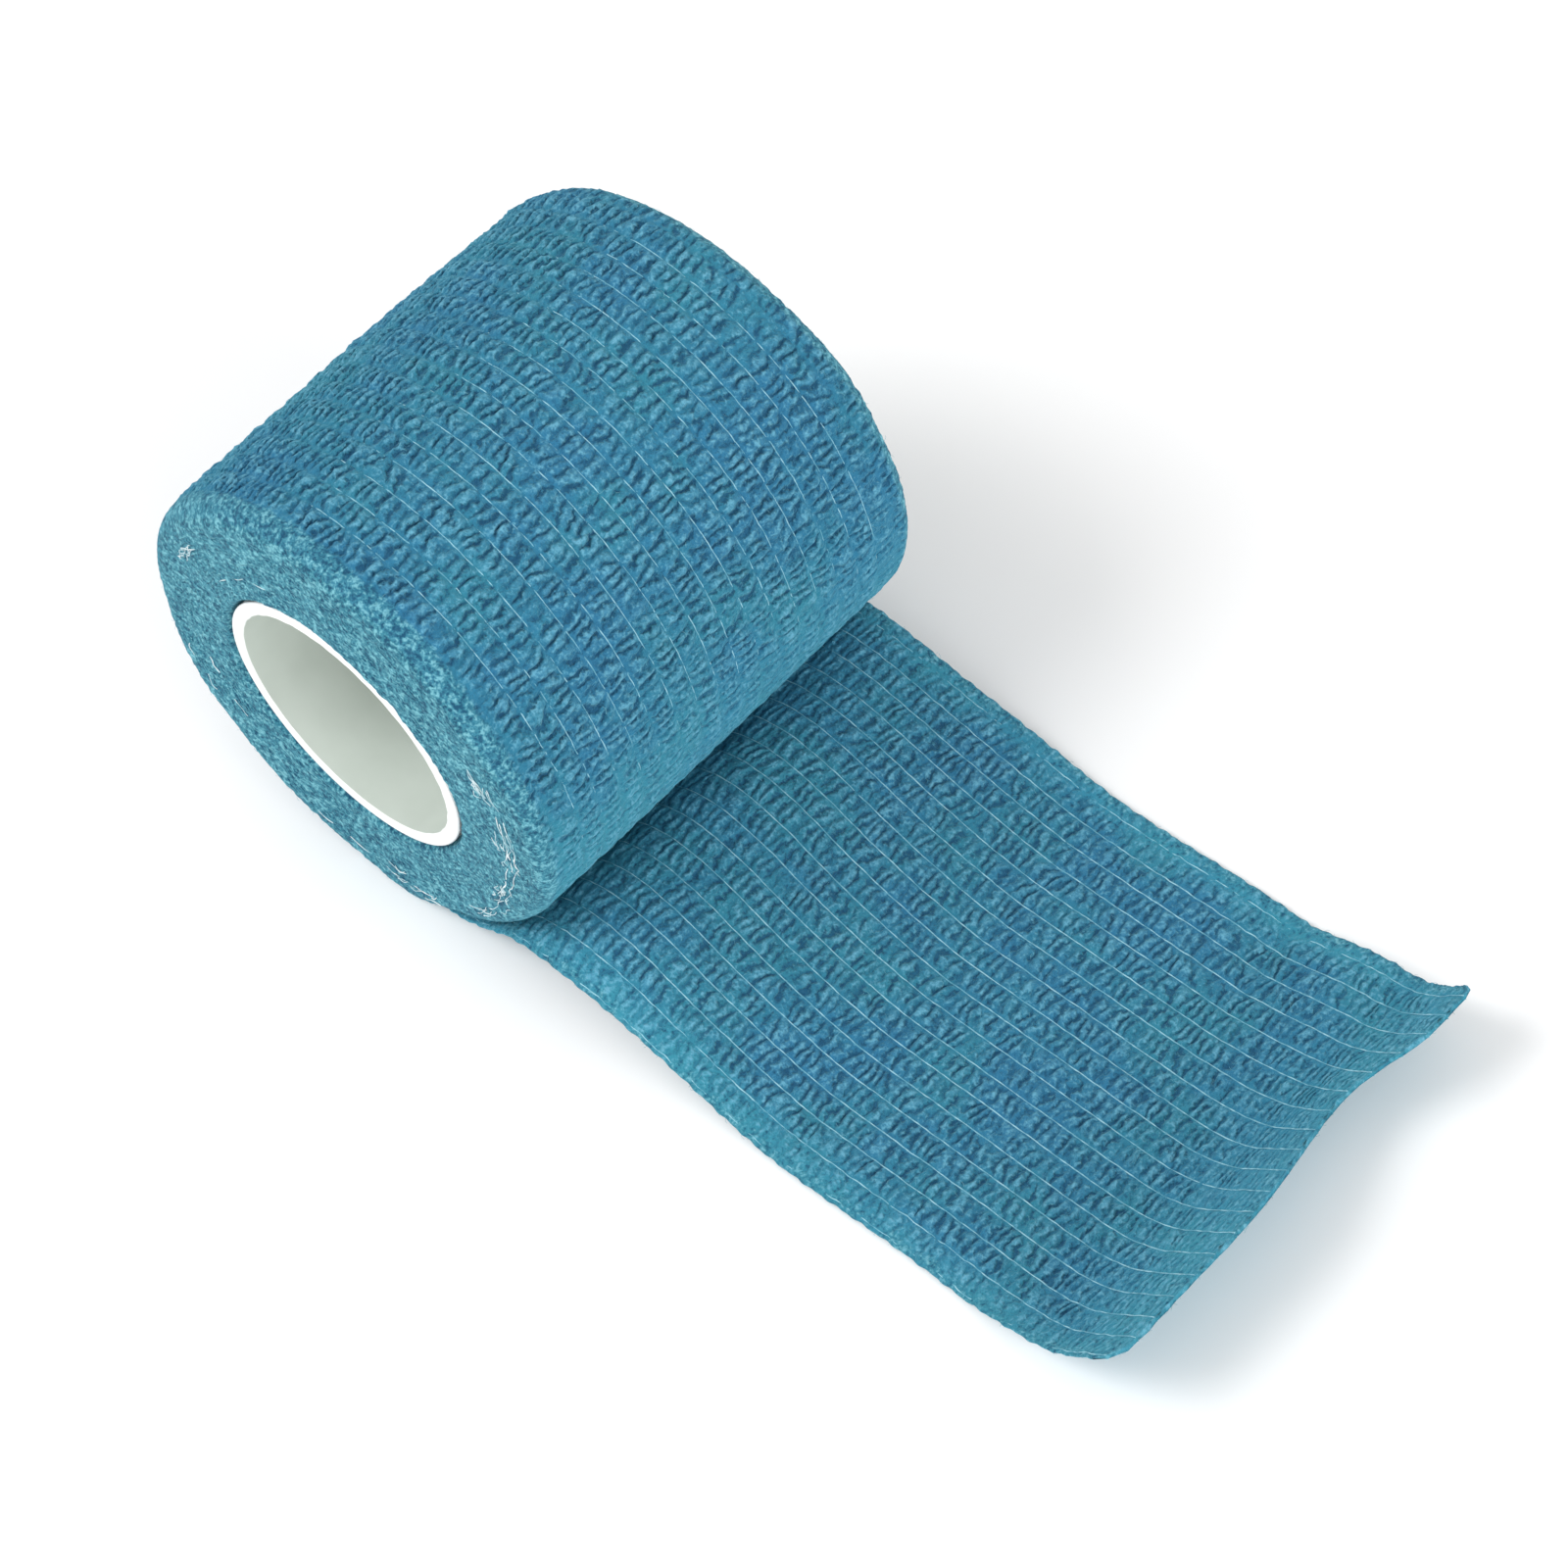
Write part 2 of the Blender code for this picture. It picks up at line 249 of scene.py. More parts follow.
class GeometryTree:  # a Geometry Nodes tree with named inputs: numbers, others, and a material
    def __init__(self, name, *numbers, **others):
        self.tree = bpy.data.node_groups.new(name, "GeometryNodeTree")
        interface = self.tree.interface
        interface.new_socket("Geometry", in_out="OUTPUT", socket_type="NodeSocketGeometry")
        kinds = {"Geometry": "Geometry", **dict.fromkeys(numbers, "Float"), **others}
        kinds["Material"] = "Material"
        self.identifiers = {}
        for label, kind in kinds.items():
            socket = interface.new_socket(label, in_out="INPUT", socket_type="NodeSocket" + kind)
            self.identifiers[label] = socket.identifier
        self.inputNode = self.tree.nodes.new("NodeGroupInput")

    def given(self, label):
        return Field(self.tree, self.inputNode.outputs[label])

    def node(self, kind, settings=None, **sockets):
        node = self.tree.nodes.new(kind)
        for key, value in (settings or {}).items():
            setattr(node, key, value)
        for label, value in sockets.items():
            name = label.replace("_", " ")
            socket = next(s for s in node.inputs if s.name == name and s.enabled)
            feed(socket, value)
        return node

    def out(self, node, label=None):
        socket = next(s for s in node.outputs if s.enabled and label in (None, s.name))
        return Field(self.tree, socket)

    def outOf(self, kind, settings=None, **sockets):  # a new node's first output
        return self.out(self.node(kind, settings, **sockets))

    def attribute(self, name, kind="FLOAT"):
        return self.outOf("GeometryNodeInputNamedAttribute", {"data_type": kind}, Name=name)

    def position(self):
        return self.outOf("GeometryNodeInputPosition")

    def seededPosition(self):  # gives each piece a noise of its own
        return vectorMath("ADD", self.position(), vectorOf(self.given("Seed"), 0.0, 0.0))

    def tube(self, curve, sides, **more):  # a round tube along a curve
        size = {"Resolution": sides, "Radius": self.given("Thickness") * 0.5}
        circle = self.outOf("GeometryNodeCurvePrimitiveCircle", {"mode": "RADIUS"}, **size)
        more.update(Curve=curve, Profile_Curve=circle, Fill_Caps=True)
        return self.outOf("GeometryNodeCurveToMesh", **more)

    def moved(self, offset):
        return self.outOf("GeometryNodeSetPosition", Geometry=self.given("Geometry"), Offset=offset)

    def lifted(self, height):  # moves the given geometry along its own "lift" directions
        return self.moved(vectorMath("SCALE", self.attribute("lift", "FLOAT_VECTOR"), height))

    def finish(self, geometry):
        realized = self.outOf("GeometryNodeRealizeInstances", Geometry=geometry)
        dressed = self.outOf("GeometryNodeSetMaterial", Geometry=realized, Material=self.given("Material"))
        feed(self.tree.nodes.new("NodeGroupOutput").inputs[0], dressed)

    def applyTo(self, piece, material, **values):  # runs the tree on a piece, which becomes a plain mesh
        modifier = piece.modifiers.new(self.tree.name, "NODES")
        modifier.node_group = self.tree
        for label, value in {**values, "Material": material}.items():
            modifier[self.identifiers[label.replace("_", " ")]] = value
        evaluated = piece.evaluated_get(bpy.context.evaluated_depsgraph_get())
        mesh = bpy.data.meshes.new_from_object(evaluated)
        mesh.name = name = piece.name
        bpy.data.objects.remove(piece)
        return addObject(name, mesh)


# ---- the winding's form


def turnRadius(angle):  # drops by one thickness of cloth at the step
    turned = angle - winding["stepAngle"]
    recovered = winding["blendShare"] * smoothstep(winding["peelAngle"], winding["blendAngle"], turned)
    inset = winding["stepDepth"] * (1 - recovered)
    return winding["radius"] - inset * (1 - smoothstep(winding["blendAngle"], 1.7 * math.pi, turned))


def sideUnevenness(angle, y):
    swell = 0.00012 * np.sin(3 * angle + 60 * y) + 0.00008 * np.sin(7 * angle - 110 * y)
    drawnIn = winding["farDrawIn"] * smoothstep(0, halfWidth, y) * (0.5 - 0.5 * np.sin(angle))
    return (swell - drawnIn) * (0.5 - 0.5 * np.cos(angle))


def endPosition(angle, radius, side):  # where the turns' edges lie along the axis
    lean, leanAngle = winding["farLean"] if side > 0 else winding["nearLean"]
    wander = 0.00010 * np.sin(4 * angle + 500 * radius) + 0.00007 * np.sin(9 * angle)
    offset = wander + lean * np.cos(angle - leanAngle)
    return side * (halfWidth + offset * smoothstep(coreRadius, winding["radius"], radius))


def aroundRoll(angle, radius, y):
    height = np.maximum(axisHeight - radius * np.cos(angle), 0)
    return np.stack(np.broadcast_arrays(radius * np.sin(angle), y, height), -1)


def awayFromAxis(angle, points):  # the outward direction; level where the roll stands on the ground
    direction = aroundRoll(angle, np.ones(points.shape[:2]), 0) - (0, 0, axisHeight)
    direction[..., 2] = np.where(points[..., 2] < 0.0004, 0, -np.cos(angle))
    return direction


def shoulderGrowth(angle):
    return 1 + winding["shoulderSpread"] * (0.5 + 0.5 * np.cos(angle - winding["backAngle"]))


def stepFill(angle):
    return winding["stepDepth"] * (1 - smoothstep(0, winding["stepFade"], angle - winding["stepAngle"]))


def edgePoint(angle, bend, side):  # on the rounded edge: bend 0 is on the end, pi / 2 on the side
    growth = shoulderGrowth(angle)
    edgeRadius = turnRadius(angle) + stepFill(angle) + sideUnevenness(angle, side * halfWidth)
    radius = edgeRadius - winding["shoulderDepth"] * growth * (1 - np.sin(bend))
    drop = winding["shoulderWidth"] * growth * (1 - np.cos(bend))
    return radius, endPosition(angle, radius, side) - side * drop


# ---- patterns that shape the cloth and colour it

crinkle = {
    "slant": 1.6,
    "bow": 1.4,
    "rowDrift": 2.8,  # how far each row of puffs goes its own way, in crinkles
    "sharedDrift": 3.0,  # and how far the rows go together, where the cloth is loose
    "narrowing": 1.4,  # more than 1 widens the creases
    "fineOnPuffs": 1.5,
    "fineInCreases": 1.7,
}


def crinklesOf(steps, lane, loose):
    # The cloth puffs up between its yarns. Short creases cross each row of puffs, about one a step,
    # slanted, bowed and broken as they come. Where the cloth is loose, they run on across the yarns.
    cell = lane.math("FLOOR")
    inCell = lane.math("FRACT")
    middle = inCell * 2.0 - 1.0
    tight = 1.0 - loose

    def drift(rate, across, shift, detail=1.0, roughness=0.5):
        return noiseOf(vectorOf(steps * rate, across, shift), 1.0, detail, roughness) - 0.5

    def alongRow(rate, shift, detail=0.0):
        return drift(rate, cell * 7.31, shift, detail)

    slant = alongRow(0.47, 31.0) * middle * crinkle["slant"]
    bow = alongRow(0.47, 77.0) * middle * middle * crinkle["bow"]
    ownRow = alongRow(0.25, 0.0, 1.0) * crinkle["rowDrift"] + cell * 0.381 + slant + bow
    shared = drift(0.15, lane * 0.22, 91.0) * crinkle["sharedDrift"]
    wiggle = drift(1.2, lane * 2.8, 5.0)
    ridge = (steps + ownRow * tight + shared * loose + wiggle).wave() ** crinkle["narrowing"]
    profile = 1.0 - middle.math("ABSOLUTE") ** 3.0 * (1.0 - loose * 0.5)
    strength = alongRow(0.6, 57.0, 1.0).over(-0.2, 0.12, 0.35, 1.0)
    reach = (middle - alongRow(1.0, 13.0) * 1.6).math("ABSOLUTE").over(0.60, 1.10, 1.0, 0.0)
    depth = alongRow(0.8, 41.0).over(-0.22, 0.10, 0.4, 1.0)
    small = drift(3.0, lane * 7.0, 23.0, 2.0, 0.6)
    crease = (ridge + small * crinkle["fineInCreases"]).over(0.08, 0.66, 1.0, 0.0) * reach * depth
    puff = profile * (ridge * strength + small * crinkle["fineOnPuffs"])
    return {"profile": profile, "puff": puff, "crease": crease}


def raggedOf(felt, place):  # where felted cloth gives way to puffs, in patches
    patches = noiseOf(place, 620.0, 2.0) - 0.5
    return (felt * 2.4 - 0.7 + patches * 1.8).over(0.0, 1.0)


def turnEdgesOf(place):  # the edges of the turns at the roll's ends: one spiral from core to rim
    x, z = (nodeOf(place.tree, "ShaderNodeSeparateXYZ", {0: place}, part) for part in (0, 2))
    z = z - axisHeight
    radius = (x * x + z * z).math("SQRT")
    angle = x.math("ARCTAN2", z * -1.0)
    turnPitch = (winding["radius"] - coreRadius) / winding["turns"]
    wobble = (noiseOf(place, 170.0, 1.0) - 0.5) * 1.6
    return (radius / turnPitch - angle / (2 * math.pi) + wobble).wave()


# ---- finishes


def newMaterial(name, roughness, **uniform):
    material = bpy.data.materials.new(name)
    material.use_nodes = True
    shader = material.node_tree.nodes["Principled BSDF"]
    shader.inputs["Roughness"].default_value = roughness
    for label, value in uniform.items():
        shader.inputs[label.replace("_", " ")].default_value = value
    return material, material.node_tree, shader


def objectPlace(tree):
    return nodeOf(tree, "ShaderNodeTexCoord", {}, "Object")


def ownAttribute(tree, name):
    return nodeOf(tree, "ShaderNodeAttribute", {}, "Fac", attribute_name=name)


def mixColour(share, low, high):
    return nodeOf(share.tree, "ShaderNodeMix", {0: share, 6: low, 7: high}, 2, data_type="RGBA")


def addBump(shader, heightField, distance):
    inputs = {"Strength": 1.0, "Distance": distance, "Height": heightField}
    feed(shader.inputs["Normal"], nodeOf(heightField.tree, "ShaderNodeBump", inputs))


bandageFinish = {
    # painted shade: the dark colour laid into the creases between the puffs
    "crease": (0.011, 0.078, 0.164, 1),
    "blue": (0.028, 0.170, 0.308, 1),
    "teal": (0.031, 0.208, 0.300, 1),
    # painted highlight: the light colour laid on the tops of the puffs
    "paintedHighlight": (0.132, 0.390, 0.536, 1),
    "drawn": (0.048, 0.310, 0.405, 1),  # painted light: lighter where the cloth is drawn smooth, as for light coming through the thin cloth
    "felt": (0.040, 0.204, 0.280, 1),
    "feltShade": (0.009, 0.066, 0.130, 1),
    "feltLight": (0.190, 0.480, 0.560, 1),
    "sheen": (0.30, 0.80, 0.95, 1),
    "sheenWeight": 0.30,
    "roughness": 0.95,
    "feltCover": 0.75,  # how far felt hides the colours of the crinkles under it
    "fibreScale": 2600.0,  # finest fibres, a metre
}


def grainOf(place, finish):
    fibres = noiseOf(place, finish["fibreScale"], 3.0, 0.6)
    tufts = noiseOf(place, finish["fibreScale"] * 0.4, 3.0, 0.6)
    return fibres * 0.6 + tufts * 0.4


def feltColour(grain, finish):
    dark = mixColour(grain.over(0.41, 0.50), finish["feltShade"], finish["felt"])
    return mixColour(grain.over(0.50, 0.61), dark, finish["feltLight"])


def newClothMaterial(name, finish):
    material, tree, shader = newMaterial(
        name, finish["roughness"], Sheen_Weight=finish["sheenWeight"], Sheen_Roughness=0.5,
        Sheen_Tint=finish["sheen"], Specular_IOR_Level=0.2,
    )
    place = objectPlace(tree)
    return material, tree, shader, place, grainOf(place, finish)


def bandageMaterial(name, finish):
    material, tree, shader, place, grain = newClothMaterial(name, finish)
    felt = raggedOf(ownAttribute(tree, "felt"), place)
    crinkles = crinklesOf(*(ownAttribute(tree, label) for label in ("steps", "lane", "loose")))
    patches = noiseOf(place, 75.0, 3.0, 0.6)
    smooth = (1.0 - ownAttribute(tree, "amount")) * 0.8
    tone = mixColour(patches.over(0.38, 0.64), finish["blue"], finish["teal"])
    # painted light: smooth cloth is mixed towards a lighter colour, for light coming through it
    tone = mixColour(smooth, tone, finish["drawn"])
    # painted highlight on the puffs' tops, together with the light flecks of the fibre grain
    light = crinkles["puff"] * 0.50 + grain.over(0.46, 0.66) * 0.60
    grainAndPaintedHighlight = mixColour(light.over(0.15, 1.0), tone, finish["paintedHighlight"])
    # painted shade in the creases, less where the cloth is drawn smooth, together with the dark flecks of
    # the fibre grain
    shade = crinkles["crease"] * (1.0 - smooth) * 0.74 + grain.over(0.33, 0.50, 1.0, 0.0) * 0.55
    grainAndPaintedShade = mixColour(shade.over(0.0, 1.0), grainAndPaintedHighlight, finish["crease"])
    colour = mixColour(felt * finish["feltCover"], grainAndPaintedShade, feltColour(grain, finish))
    feed(shader.inputs["Base Color"], colour)
    relief = (crinkles["puff"] * 0.55 - crinkles["crease"] * 0.35) * (1.0 - smooth)
    addBump(shader, relief * (1.0 - felt) + grain * 1.6, 0.00036)
    return material


def windingMaterial(name, finish):
    material, tree, shader, place, grain = newClothMaterial(name, finish)
    onEnd = ownAttribute(tree, "onEnd")
    turnEdge = turnEdgesOf(place)
    dashes = noiseOf(place, 800.0, 2.0, 0.6).over(0.44, 0.60)
    patches = noiseOf(place, 160.0, 2.0, 0.6).over(0.35, 0.65, 0.3, 1.0)
    # painted shade: dark, broken dashes along the spiral lines where one turn meets the next
    between = (1.0 - turnEdge) * dashes * patches * onEnd * 0.8
    colour = mixColour(between, feltColour(grain, finish), finish["feltShade"])
    feed(shader.inputs["Base Color"], colour)
    addBump(shader, grain * 1.7 + turnEdge * onEnd * dashes * 0.3, 0.00034)
    return material


def plainFibreMaterial(name, dark, light, roughness, scale):
    material, tree, shader = newMaterial(name, roughness, Specular_IOR_Level=0.3)
    shade = noiseOf(objectPlace(tree), scale, 2.0, 0.6)
    feed(shader.inputs["Base Color"], mixColour(shade.over(0.35, 0.65), dark, light))
    return material


def coreMaterialOf(name):
    material, tree, shader = newMaterial(name, 0.40, Specular_IOR_Level=0.4)
    place = objectPlace(tree)
    cloudy = noiseOf(place, 120.0, 3.0, 0.5)
    # painted shade: the bore's inside is given a darker grey-green than the rim's white, for the shade
    # inside the tube
    inside = mixColour(cloudy.over(0.3, 0.7), (0.55, 0.605, 0.555, 1), (0.60, 0.655, 0.605, 1))
    colour = mixColour(ownAttribute(tree, "rim"), inside, (0.90, 0.91, 0.90, 1))
    feed(shader.inputs["Base Color"], colour)
    feed(shader.inputs["Roughness"], cloudy.over(0.3, 0.7, 0.34, 0.46))
    addBump(shader, noiseOf(place, 700.0, 2.0, 0.5), 0.00002)
    return material


clothMaterial = bandageMaterial("bandageCloth", bandageFinish)
endMaterial = windingMaterial("windingEdges", bandageFinish)
yarnMaterial = plainFibreMaterial("elasticYarn", (0.13, 0.38, 0.49, 1), (0.34, 0.62, 0.71, 1), 0.7, 900.0)
fibreMaterial = plainFibreMaterial("looseFibre", (0.09, 0.30, 0.38, 1), (0.22, 0.50, 0.58, 1), 0.8, 300.0)
yarnEndMaterial = plainFibreMaterial("cutYarnEnd", (0.42, 0.64, 0.70, 1), (0.88, 0.95, 0.96, 1), 0.6, 500.0)
coreMaterial = coreMaterialOf("corePlastic")
print("materials made")


# ---- the crinkled cloth, raised from a smooth one by its own attributes


def crinkleTreeOf():
    made = GeometryTree("crinkledCloth", "Height", "Crease", "Bulge", "Unevenness", "Sink")
    steps, lane = made.attribute("steps"), made.attribute("lane")
    crinkles = crinklesOf(steps, lane, made.attribute("loose"))
    wander = noiseOf(vectorOf(steps * 1.3, lane * 3.0, 17.0), 1.0, 2.0) - 0.5
    height = crinkles["profile"] * made.given("Bulge") + crinkles["puff"] * made.given("Height")
    height = height - crinkles["crease"] * made.given("Crease") + wander * made.given("Unevenness")
    puffed = 1.0 - raggedOf(made.attribute("felt"), made.position()) * 0.85
    lifted = (height - made.given("Sink")) * puffed * made.attribute("amount")
    made.finish(made.lifted(lifted - made.attribute("dip")))
    return made


crinkleTree = crinkleTreeOf()


def crinkled(settings, piece):
    heights = {key.title(): settings[key] for key in ("height", "crease", "bulge", "unevenness", "sink")}
    return crinkleTree.applyTo(piece, clothMaterial, **heights)


# ---- the wound roll: its side

rollWrap = {
    "rows": 820,  # points round the roll
    "straightReach": 0.0209,  # beyond this the places across follow the rounded edges
    "edgeShares": (0.25, 0.5, 0.75, 1.0),
    "edgeBends": (1.30, 1.05, 0.82, 0.62, 0.44, 0.28),
    "insideRadius": 0.0205,
    "insideDepth": 0.0035,  # behind the roll's ends
    "bottomCrinkle": 0.3,  # the share of crinkle left beside the loose end, up to
    "bottomTo": (1.0, 2.0),  # these angles, in radians
    "looseFrom": math.radians(185),  # from here on the crinkles run on across the yarns
    "looseTo": math.radians(225),
    "looseShare": 0.85,
    "feltNear": (0.0007, 0.0026),  # from the end: felt up to the first, puffs from the second
    "feltFar": (0.0006, 0.0020),
    "height": 0.00036,
    "crease": 0.00014,
    "bulge": 0.00014,
    "unevenness": 0.00030,
    "sink": 0.00020,
}


def edgeOfWrap(angle, side):  # the columns that turn over the rounded edge, from the side outwards
    settings = rollWrap
    share, bends = np.array([settings["edgeShares"]]), np.array([settings["edgeBends"]])
    straight = side * settings["straightReach"]
    startY = edgePoint(angle, np.full((1, 1), math.pi / 2), side)[1]
    straightY = straight + (startY - straight) * share
    straightRadius = turnRadius(angle) + stepFill(angle) * share**2 + sideUnevenness(angle, straightY)
    bentRadius, bentY = edgePoint(angle, bends, side)
    bend = np.concatenate([np.full(share.shape[1], math.pi / 2), bends[0]])
    return {
        "y": np.concatenate([straightY, bentY], 1),
        "radius": np.concatenate([straightRadius, bentRadius], 1),
        "bend": np.broadcast_to(bend, (len(angle), len(bend))),
    }


def buildRollWrap():
    settings = rollWrap
    turned = np.linspace(0, 2 * math.pi - winding["stepSlit"], settings["rows"])
    angle = (winding["stepAngle"] + turned)[:, None]
    reach = settings["straightReach"]
    stations = acrossStations(-reach, reach, cloth["cellStations"])
    nearEdge, farEdge = edgeOfWrap(angle, -1), edgeOfWrap(angle, 1)
    level = np.broadcast_to(stations, (len(angle), len(stations)))
    middle = {
        "y": level,
        "radius": turnRadius(angle) + sideUnevenness(angle, level),
        "bend": np.full(level.shape, math.pi / 2),
    }
    y, radius, bend = (
        np.concatenate([nearEdge[key][:, ::-1], middle[key], farEdge[key]], 1) for key in middle
    )
    toFace = [np.abs(endPosition(angle, winding["radius"], side)) - side * y for side in (-1, 1)]
    toFace[0] = toFace[0] / shoulderGrowth(angle)
    puffs = [smoothstep(*settings[key], edge) for key, edge in zip(("feltNear", "feltFar"), toFace)]
    inside = np.full((len(angle), 2), settings["insideRadius"])
    insideY = y[:, [-1, 0]] - np.array((1, -1)) * settings["insideDepth"]
    points = aroundRoll(angle, np.concatenate([radius, inside], 1), np.concatenate([y, insideY], 1))

    def closed(values):  # with nothing on the last two columns, which close the shell inside the roll
        return np.concatenate([values, np.zeros_like(values[:, :2])], 1)

    sides = np.sign(y)[..., None] * np.array((0, 1, 0))
    outwards = awayFromAxis(angle, points)[:, :-2] * np.sin(bend)[..., None]
    outwards = outwards + sides * np.cos(bend)[..., None]
    least = settings["bottomCrinkle"]
    bottom = least + (1 - least) * smoothstep(*settings["bottomTo"], angle)
    return crinkled(settings, shellFromGrid(
        "rollWrap", points,
        steps=winding["radius"] * angle / cloth["crinkleOnRoll"],
        lane=closed(laneOf(y)),
        loose=settings["looseShare"] * smoothstep(settings["looseFrom"], settings["looseTo"], angle),
        felt=closed(np.maximum(1 - puffs[0], 1 - puffs[1])),
        amount=closed(np.broadcast_to(bottom, y.shape)),
        dip=closed(winding["seamDip"] * (1 - smoothstep(0.28, 0.50, bend))),
        lift=closed(outwards),
    ))


wrapPiece = buildRollWrap()
print("roll wrap:", countTriangles(wrapPiece), "triangles")


# ---- the ends of the roll, with the felted band that turns over onto its side

rollEnd = {
    "columns": 620,
    "facePoints": 62,
    "edgeBends": (0.0, 0.12, 0.24, 0.36, 0.50, 0.66, 0.84),
    "ridgeHeight": 0.00012,
    "unevenness": 0.00034,
    "boreGap": 0.00012,
    "boreRounding": 0.0009,
    "innerDepth": (0.0020, 0.003),  # the hidden inside: below the side, and behind the end
}


def windingTreeOf():
    made = GeometryTree("woundEdges", "Ridge height", "Unevenness", "Seed")
    shifted = made.seededPosition()
    broken = noiseOf(shifted, 380.0, 2.0).over(0.35, 0.65, 0.0, 1.0)
    turnEdge = turnEdgesOf(made.position()) * broken * made.attribute("onEnd")
    lumps = noiseOf(shifted, 1300.0, 3.0) * 1.3 + noiseOf(shifted, 330.0, 1.0) * 0.4 - 0.85
    height = turnEdge * made.given("Ridge height") + lumps * made.given("Unevenness")
    made.finish(made.lifted(height * made.attribute("amount") - made.attribute("dip")))
    return made


windingTree = windingTreeOf()


def buildRollEnd(name, side):
    settings = rollEnd
    turned = np.linspace(0, 2 * math.pi, settings["columns"], endpoint=False)
    angle = (winding["stepAngle"] + turned)[:, None]
    bore = coreRadius + settings["boreGap"]
    share = np.linspace(0, 1, settings["facePoints"] + 1)[None, :-1]
    bends = np.array(settings["edgeBends"])[None, :]
    edgeRadius, edgeY = edgePoint(angle, bends, side)
    faceRadius = bore + (edgeRadius[:, :1] - bore) * share
    faceY = endPosition(angle, faceRadius, side)
    faceY = faceY - side * settings["boreRounding"] * (1 - smoothstep(0.0, 0.08, share)) ** 2
    below, behind = settings["innerDepth"]
    innerY = np.full_like(angle, side * (halfWidth - behind))
    radius = np.concatenate([faceRadius, edgeRadius, edgeRadius[:, -1:] - below, bore + 0 * angle], 1)
    y = np.concatenate([faceY, edgeY, edgeY[:, -1:], innerY], 1)
    points = aroundRoll(angle, radius, y)
    bend = np.concatenate([np.zeros(settings["facePoints"]), bends[0], np.full(2, math.pi / 2)])
    closed = np.ones(len(bend))
    closed[[0, -2, -1]] = 0
    outwards = awayFromAxis(angle, points)
    lift = outwards * np.sin(bend)[None, :, None] + np.array((0, side, 0)) * np.cos(bend)[None, :, None]
    dip = winding["seamDip"] * smoothstep(0.58, 0.84, bend) * closed
    piece = shellFromGrid(name, points, amount=closed, onEnd=np.cos(bend) ** 4, dip=dip, lift=lift)
    heights = {"Ridge_height": settings["ridgeHeight"], "Unevenness": settings["unevenness"]}
    return windingTree.applyTo(piece, endMaterial, Seed=3.0 + side, **heights)


nearEnd = buildRollEnd("rollEndNear", -1)
farEnd = buildRollEnd("rollEndFar", 1)
print("roll ends:", countTriangles(nearEnd, farEnd), "triangles")


# ---- the loose end

looseEnd = {
    "rootX": 0.0019,
    "tipX": 0.0918,
    "leavesRollX": 0.0145,
    "nearY": -0.0249,
    "farY": 0.0247,
    "nearBendY": -0.017,
    "farBendY": 0.002,
    "nearCorner": 0.0024,
    "farCorner": 0.0010,
    "cornerBlend": 0.009,
    "hollow": 0.0025,
    "hollowY": 0.0095,
    "hollowReachNear": 0.016,
    "hollowReachFar": 0.0095,
    "rowStep": 0.000157,
    "underStations": (0.0, 0.5),
    "middleLift": 0.00055,  # of the cloth's middle above its solid's underside
    "height": 0.00028,
    "crease": 0.00010,
    "bulge": 0.00010,
    "unevenness": 0.00022,
    "sink": 0.00013,
    "underShare": 0.45,  # of the crinkles' height, on the underside
    "curlFrom": 0.074,  # the cloth is drawn smoother where it curls up
    "curlCrinkle": 0.40,
    "rootCrinkle": 0.70,  # and beside the roll
    "edgeCrinkle": 0.40,  # and along its edges
}

tailSections = {  # height of the underside along the near edge (-Y), the middle and the far edge (+Y)
    "x": (
        0.0175, 0.0210, 0.0250, 0.0300, 0.0350, 0.0400, 0.0450, 0.0500,
        0.0720, 0.0755, 0.0790, 0.0820, 0.0850, 0.0880, 0.0918,
    ),
    "near": (
        0.0060, 0.0067, 0.0065, 0.0053, 0.0035, 0.0018, 0.0006, 0.0000,
        0.0000, 0.0006, 0.0017, 0.0026, 0.0042, 0.0070, 0.0107,
    ),
    "middle": (
        0.0062, 0.0083, 0.0089, 0.0075, 0.0048, 0.0026, 0.0010, 0.0000,
        0.0000, 0.0001, 0.0003, 0.0012, 0.0030, 0.0059, 0.0099,
    ),
    "far": (
        0.0058, 0.0057, 0.0049, 0.0034, 0.0022, 0.0012, 0.0004, 0.0000,
        0.0000, 0.0012, 0.0027, 0.0035, 0.0037, 0.0049, 0.0084,
    ),
}


def rollUnderside(x):
    return np.maximum(axisHeight - np.sqrt(winding["radius"] ** 2 - x**2), 0)


def tailLine(column, x):
    leaves = looseEnd["leavesRollX"]
    onRoll = leaves * np.array([0.1, 0.3, 0.5, 0.7, 0.85, 1.0])
    knotX = np.concatenate([onRoll, tailSections["x"]])
    knotZ = np.concatenate([rollUnderside(onRoll), tailSections[column]])
    return np.where(x <= leaves, rollUnderside(np.minimum(x, leaves)), throughKnots(knotX, knotZ, x))


def tailHeight(x, y):
    near, middle, far = (tailLine(column, x) for column in ("near", "middle", "far"))
    nearBend, farBend = looseEnd["nearBendY"], looseEnd["farBendY"]
    nearShare = np.maximum((nearBend - y) / (nearBend - looseEnd["nearY"]), 0) ** 2
    farShare = np.maximum((y - farBend) / (looseEnd["farY"] - farBend), 0)
    return np.maximum(middle + (near - middle) * nearShare + (far - middle) * farShare, 0)


def tipSetback(y):
    reach = np.where(y < looseEnd["hollowY"], looseEnd["hollowReachNear"], looseEnd["hollowReachFar"])
    fromHollow = np.minimum(np.abs(y - looseEnd["hollowY"]) / reach, 1)
    setback = looseEnd["hollow"] * (0.5 + 0.5 * np.cos(math.pi * fromHollow))
    for fromEdge, name in ((y - looseEnd["nearY"], "nearCorner"), (looseEnd["farY"] - y, "farCorner")):
        corner = looseEnd[name]
        inwards = np.clip(corner - fromEdge, 0, corner)
        setback = setback + corner - np.sqrt(corner**2 - inwards**2)
    return setback + 0.00008 * np.sin(5200 * y) + 0.00006 * np.sin(2300 * y + 1)


